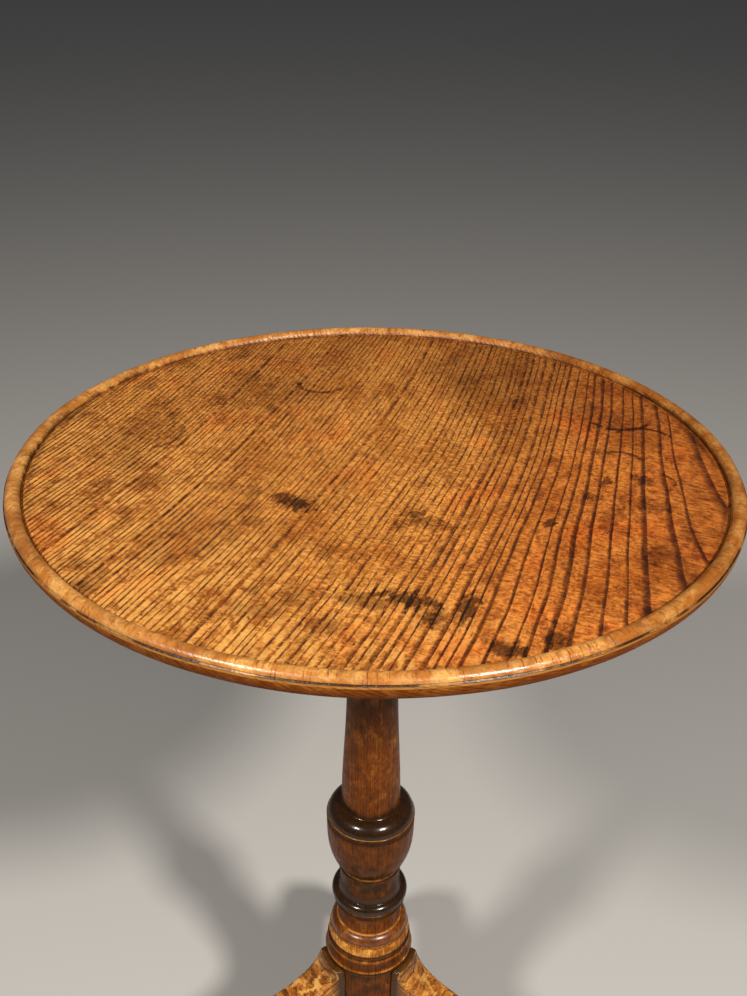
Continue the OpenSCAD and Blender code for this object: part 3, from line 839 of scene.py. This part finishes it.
def column_outline():
    """The turned column from the top of its tenon down to the drum, from axis to axis."""
    high = RIM_Z / MM
    block_z, block_top = block_low.z / MM, column_high.z / MM
    shaft_top, swell = block_z - 17, high - 200
    neck, slender, shaft, urn_r, ring_r, arris = 18.8, 20.2, 24.3, 36.9, 32.6, 38.8
    drum_z = DRUM_Z / MM
    line = [(0, block_top), (14, block_top), (14, block_z), (22, block_z), (22, block_z - 3)]
    line += arc(22, block_z - 7, 3, 4, 90, 180, 6)
    line += [(20, block_z - 8)]
    line += arc(19.2, block_z - 11, 2.8, 2.8, 75, -75, 10)
    line += [(20, block_z - 14.6), (19.6, block_z - 15)]
    line += [(neck + (slender - neck) * t, shaft_top + (swell - shaft_top) * t)
             for t in np.linspace(0, 1, 7)]
    line += [(slender + (shaft - slender) * (1 - math.cos(math.pi * t)) / 2,
              swell + (URN - swell) * t) for t in np.linspace(0, 1, 20)[1:]]
    line += [(shaft + 0.8, URN - 1)]
    line += arc(shaft + 0.8, URN - 13, urn_r - shaft - 1.6, 12, 88, 4, 20)
    line += [(urn_r, URN - 12.4), (urn_r, URN - 15), (urn_r - 1, URN - 15.8),
             (urn_r - 0.2, URN - 17)]
    line += curve((urn_r - 0.2, URN - 17), (urn_r - 0.2, URN - 38), (urn_r - 1.1, URN - 47),
                  (31.5, URN - 58), 24)
    line += curve((31.5, URN - 58), (29.8, URN - 62.5), (28, URN - 65), (26.2, URN - 66.5), 8)
    line += [(25.6, URN - 67.5), (25.6, URN - 69), (26.8, URN - 70), (26.8, URN - 72.5)]
    line += curve((26.8, URN - 72.5), (25, URN - 78), (24.6, URN - 90), (27.6, URN - 96.6), 12)
    line += arc(ring_r - 5.5, URN - 102, 5.5, 5.5, 76, -68, 18)
    line += [(30.9, URN - 107.8), (30.9, URN - 111)]
    line += curve((28.4, URN - 111.6), (26, URN - 119), (25.8, URN - 129.5), (28, URN - 132.6), 18)
    line += curve((28, URN - 132.6), (30.4, URN - 133.2), (33.8, URN - 135.6),
                  (33.6, URN - 141), 12)
    line += [(32.2, URN - 142.6), (33.6, URN - 143.8)]
    line += curve((33.6, URN - 143.8), (35, URN - 145.6), (35.7, URN - 148.5),
                  (35.5, URN - 151.5), 8)
    line += [(34.6, URN - 153.8), (36.4, URN - 155.4), (36.9, URN - 158.4)]
    line += curve((36.9, URN - 158.4), (36.2, URN - 163), (36.8, URN - 168),
                  (arris, URN - 169.8), 8)
    line += [(arris, URN - 171.2), (DRUM_R, URN - 173), (DRUM_R, drum_z + 2),
             (DRUM_R - 2, drum_z), (0, drum_z)]
    return line


def column_patina_and_shade():
    """Height in millimetres and how dark the wood is there, from 0 to 1; the dark at the top of
    the shaft is painted shade under the top.
    """
    return [(block_low.z / MM, 0.74), (URN + 250, 0.52), (URN + 60, 0.50), (URN + 6, 0.60),
            (URN + 1, 0.96), (URN - 11.6, 1.0), (URN - 12.6, 0.22), (URN - 14.6, 0.25),
            (URN - 15.4, 1.0), (URN - 16.4, 0.95), (URN - 18, 0.60), (URN - 40, 0.63),
            (URN - 58, 0.70), (URN - 67, 0.88), (URN - 70.5, 0.66), (URN - 73, 0.84),
            (URN - 88, 0.74), (URN - 94, 0.97), (URN - 106.6, 1.0), (URN - 107.4, 0.24),
            (URN - 111, 0.20), (URN - 112, 0.85), (URN - 116, 0.60), (URN - 129, 0.50),
            (URN - 133, 0.52), (URN - 140, 0.50), (URN - 142, 0.95), (URN - 144, 0.20),
            (URN - 151, 0.10), (URN - 154, 0.95), (URN - 156, 0.26), (URN - 158.5, 0.30),
            (URN - 160, 0.60), (URN - 167, 0.66), (URN - 169, 0.24), (URN - 171.4, 0.3),
            (URN - 173, 0.85), (URN - 180, 0.64), (DRUM_Z / MM, 0.64)]


def build_column():
    column = lathe("turned_column", column_outline(), 160, 0.5, unevenness=0.15, seed=3.0)
    heights, darkness = zip(*sorted(column_patina_and_shade()))
    place = mesh_array(column.data, "vertices", "co", 3)[:, 2] / MM
    set_attribute(column, "patina", np.interp(place, heights, darkness))
    paint(column, column_oak())
    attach(column, "stand")
    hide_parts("column")


# -------------------- the legs

def leg_lines():
    """The upper and lower lines of a leg's side: distance from the column's axis and height."""
    low = DRUM_Z / MM
    high = low + 90
    upper = [(DRUM_R + 0.1, high), (ARRIS_S, high)]
    upper += curve((ARRIS_S, high), (48, high - 17.5), (62, high - 27.5), (95, high - 34), 24)
    upper += curve((95, high - 34), (116, high - 38), (133, high - 47), (146, high - 67), 16)
    upper += curve((146, high - 67), (159, high - 87), (176, 60), (199, 36), 20)
    upper += curve((199, 36), (207, 28), (214, 24), (FOOT_S + 6, 19), 10)
    lower = [(DRUM_R + 0.1, low + 0.2), (100, low + 0.2)]
    lower += curve((100, low + 0.2), (134, low - 2), (146, 80), (160, 54), 16)
    lower += curve((160, 54), (172, 32), (184, 14), (FOOT_S - 20, 6), 14)
    lower += [(FOOT_S, 4)]
    return np.array(upper), np.array(lower)


def leg_stations():
    """Matching points of the two lines, from the column out to the foot."""
    upper, lower = leg_lines()
    shared = 95
    found = []
    for s in np.concatenate([np.arange(DRUM_R + 0.1, 50, 0.7), np.arange(50, shared, 3)]):
        found.append([(s, np.interp(s, line[:, 0], line[:, 1])) for line in (upper, lower)])
    ends = []
    for line in (upper, lower):
        beyond = line[line[:, 0] > shared]
        start = (shared, np.interp(shared, line[:, 0], line[:, 1]))
        ends.append(resample([start] + [tuple(p) for p in beyond], 0.5))
    for t in np.linspace(0, 1, 50):
        found.append([tuple(e[int(round(t * (len(e) - 1)))]) for e in ends])
    return found


def build_leg(node, seed):
    angle = math.radians(LEG_ANGLES[node])
    sides = np.array([(0, 18)] + curve((0, 18), (60, 18), (150, 16), (FOOT_S, 12.5), 24))
    stations = leg_stations()
    around = 48
    verts = []
    # The section is a superellipse, nearly square at the column and rounder at the foot
    for i, ((us, uz), (ls, lz)) in enumerate(stations):
        t = i / (len(stations) - 1)
        square = 11 - 8.2 * t * t * (3 - 2 * t)
        half = np.interp((us + ls) / 2, sides[:, 0], sides[:, 1])
        for k in range(around):
            a = 2 * math.pi * k / around
            up = math.copysign(abs(math.sin(a)) ** (2 / square), math.sin(a))
            y = half * math.copysign(abs(math.cos(a)) ** (2 / square), math.cos(a))
            s = (us + ls) / 2 + (us - ls) / 2 * up
            z = (uz + lz) / 2 + (uz - lz) / 2 * up
            # Near the column the leg's end follows the drum's curve
            wrapped = math.sqrt(max(s * s - y * y, 1))
            s += (wrapped - s) * min(1, max(0, (110 - s) / 50))
            verts.append((s * MM, y * MM, z * MM))
    rows = len(stations)
    faces = [tuple(range(around)), tuple(range((rows - 1) * around, rows * around))[::-1]]
    for i in range(rows - 1):
        for k in range(around):
            j = (k + 1) % around
            faces.append((i * around + k, (i + 1) * around + k, (i + 1) * around + j,
                          i * around + j))
    leg = new_object(node.replace("leg", "carved_leg"), verts, faces)
    pad = lathe("pad", [(0, 0), (FOOT_R - 5, 0)] + arc(FOOT_R - 6, 8, 6, 8, -80, 60, 14)
                + [(11, 19.5), (0, 21)], 72, 0.4)
    pad.data.attributes.remove(pad.data.attributes["hollow"])
    pad.data.transform(Matrix.Translation((FOOT_S * MM, 0, 0)))
    join(leg, pad)
    face_outwards(leg)
    grain_mesh(leg, size=1.25, smoothing=3, seed=seed)
    leg.data.transform(Matrix.Rotation(angle, 4, "Z"))
    paint(leg, leg_oak("oak_" + node, LEG_ANGLES[node]))
    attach(leg, "stand")
    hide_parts(node)


# -------------------- wood under the top

def wood_piece(obj, material, body, node):
    modify(obj, "BEVEL", width=0.9 * MM, segments=3, limit_method="ANGLE",
           angle_limit=math.radians(40))
    set_attribute(obj, "hollow", np.zeros(len(obj.data.vertices)))
    even_shading(obj)
    paint(obj, material)
    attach(obj, body)
    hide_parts(node)


def build_block():
    """The square block on the column's head, with round pins that the top turns on."""
    low, high = block_low.z / MM, block_high.z / MM - 0.2
    back, front = block_high.y / MM - 0.1, block_low.y / MM
    round_r = high - PIVOT.z / MM
    y, z = PIVOT.y / MM, PIVOT.z / MM
    half_w = 75
    outline = [(front, low + 3), (front, z)] + arc(y, z, y - front, round_r, 180, 90, 14)[1:]
    outline += [(back, high), (back, low + 3), (back - 3, low), (front + 3, low)]
    block = prism("tilting_block", outline, -half_w, half_w)
    keeper_low, keeper_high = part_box("keeper_plate")
    middle = (keeper_low.z + keeper_high.z) / 2 / MM
    room = [(back - 12, middle - 3.5), (back + 2, middle - 3.5), (back + 2, middle + 3.5),
            (back - 12, middle + 3.5)]
    carve(block, prism("room", room, -7, 7))
    length = block_high.x / MM - half_w
    for side in (-1, 1):
        join(block, pin((side * half_w, y, z), (side, 0, 0),
                        [(0, -2), (8, -2), (8, length - 1), (7, length), (0, length)]))
    wood_piece(block, dry_oak("oak_block", (0, 1, 0), (1, 0, 0)), "stand", "block")


def build_bearer(node, side):
    """A batten under the top, swept up at both ends, with a hole for the block's pin."""
    low, high = (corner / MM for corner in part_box(node))
    half, top = high.y, high.z
    thin, sweep = top - 12, 42
    outline = [(-half, top), (-half, thin)]
    outline += curve((-half, thin), (-half + 16, thin), (-half + 24, low.z),
                     (-half + sweep, low.z), 14)
    outline += [(half - sweep, low.z)]
    outline += curve((half - sweep, low.z), (half - 24, low.z), (half - 16, thin),
                     (half, thin), 14)
    outline += [(half, top)]
    bearer = prism(node.replace("bearer", "oak_bearer"), outline, low.x, high.x)
    cutters = [pin((low.x - 5, PIVOT.y / MM, PIVOT.z / MM), (1, 0, 0),
                   [(0, 0), (8.1, 0), (8.1, 40), (0, 40)])]
    for y in (-125, 15, 125):
        cutters.append(pin(((low.x + high.x) / 2, y, low.z - 1), (0, 0, 1),
                           [(0, 0), (5.3, 0), (5.3, 2.2), (2.5, 5), (0, 5)], 32))
    carve(bearer, *cutters)
    wood_piece(bearer, dry_oak("oak_" + node, (1, 0, 0), (0, 1, 0), (90 * side, 140)),
               "tilting_top", node)


def build_wedge():
    """The wedge driven into the tenon's end, across the grain of the block."""
    low, high = (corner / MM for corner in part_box("tenon_wedge"))
    wedge = new_object("oak_wedge", [(x * MM, y * MM, z * MM)
                                     for z, wide in ((high.z - 4, 1.0), (high.z + 0.08, 1.7))
                                     for x, y in ((-wide, low.y), (wide, low.y), (wide, high.y),
                                                  (-wide, high.y))],
                       [(3, 2, 1, 0), (4, 5, 6, 7), (0, 1, 5, 4), (1, 2, 6, 5), (2, 3, 7, 6),
                        (3, 0, 4, 7)])
    modify(wedge, "BEVEL", width=0.15 * MM, segments=2)
    set_attribute(wedge, "hollow", np.zeros(len(wedge.data.vertices)))
    even_shading(wedge)
    paint(wedge, dry_oak("oak_wedge_grain", (1, 0, 0), (0, 0, 1), (30, 30)))
    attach(wedge, "stand")
    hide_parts("tenon_wedge")


def finish_metal():
    """The ironwork and brasswork keep their CAD shape and get iron and brass surfaces."""
    iron, brass = forged_iron(), old_brass()
    metals = ((("leg_strap", "strap_nails", "bearer_screws"), iron), (("catch", "keeper"), brass))
    for starts, metal in metals:
        for name, node in frame["nodes"].items():
            if name.startswith(starts):
                node.data.materials.clear()
                node.data.materials.append(metal.material)


# -------------------- stage, light and camera

def build_stage():
    floor = new_object("floor", [(-20, -20, 0), (20, -20, 0), (20, 20, 0), (-20, 20, 0)],
                       [(0, 1, 2, 3)])
    g = Graph("pale_floor")
    g.set(Base_Color=(0.50, 0.49, 0.475), Roughness=0.9)
    floor.data.materials.append(g.material)


def area_light(name, place, power):
    """A small warm soft lamp that points at the table."""
    aim = (0.05, 0.03, 0.5)
    data = bpy.data.lights.new(name, "AREA")
    data.shape = "DISK"
    data.size = 0.32
    data.energy = power
    data.color = (1, 0.94, 0.86)
    light = bpy.data.objects.new(name, data)
    light.location = place
    light.rotation_euler = (Vector(aim) - Vector(place)).to_track_quat("-Z", "Y").to_euler()
    bpy.context.scene.collection.objects.link(light)


def build_camera():
    """Looks down on the table from a standing person's height, a little turned to one side."""
    heading, pitch, roll = math.radians(120), math.radians(29.27), math.radians(0.86)
    forward = Vector((-math.sin(heading) * math.cos(pitch), math.cos(heading) * math.cos(pitch),
                      -math.sin(pitch)))
    right = Vector((math.cos(heading), math.sin(heading), 0))
    up = right.cross(forward)
    turned_right = right * math.cos(roll) + up * math.sin(roll)
    turned_up = up * math.cos(roll) - right * math.sin(roll)
    data = bpy.data.cameras.new("camera")
    data.sensor_width = 36
    data.lens = 41.57
    camera = bpy.data.objects.new("camera", data)
    away = 2.846 * RIM_R
    place = Vector((math.sin(heading) * away, -math.cos(heading) * away, RIM_Z + 1.456 * RIM_R))
    place -= right * 0.0062 * RIM_R
    turn = Matrix((turned_right, turned_up, -forward)).transposed().to_4x4()
    camera.matrix_world = Matrix.Translation(place) @ turn
    bpy.context.scene.collection.objects.link(camera)
    bpy.context.scene.camera = camera


def build_light():
    """Two soft lamps high behind the viewer, the right one stronger, in a dim pale room."""
    bpy.context.scene.view_settings.view_transform = "Standard"
    world = bpy.data.worlds.new("studio")
    world.use_nodes = True
    background = world.node_tree.nodes["Background"]
    background.inputs["Color"].default_value = (0.92, 0.95, 1.0, 1)
    background.inputs["Strength"].default_value = 0.08
    bpy.context.scene.world = world
    area_light("key", (0.75, 1.75, 2.3), 80)
    area_light("fill", (1.75, -0.35, 2.2), 46)


build_camera()
build_stage()
build_light()
build_top()
build_column()
for number, leg_node in enumerate(LEG_ANGLES):
    build_leg(leg_node, 11.0 * number)
build_block()
build_bearer("bearer_right", 1)
build_bearer("bearer_left", -1)
build_wedge()
finish_metal()
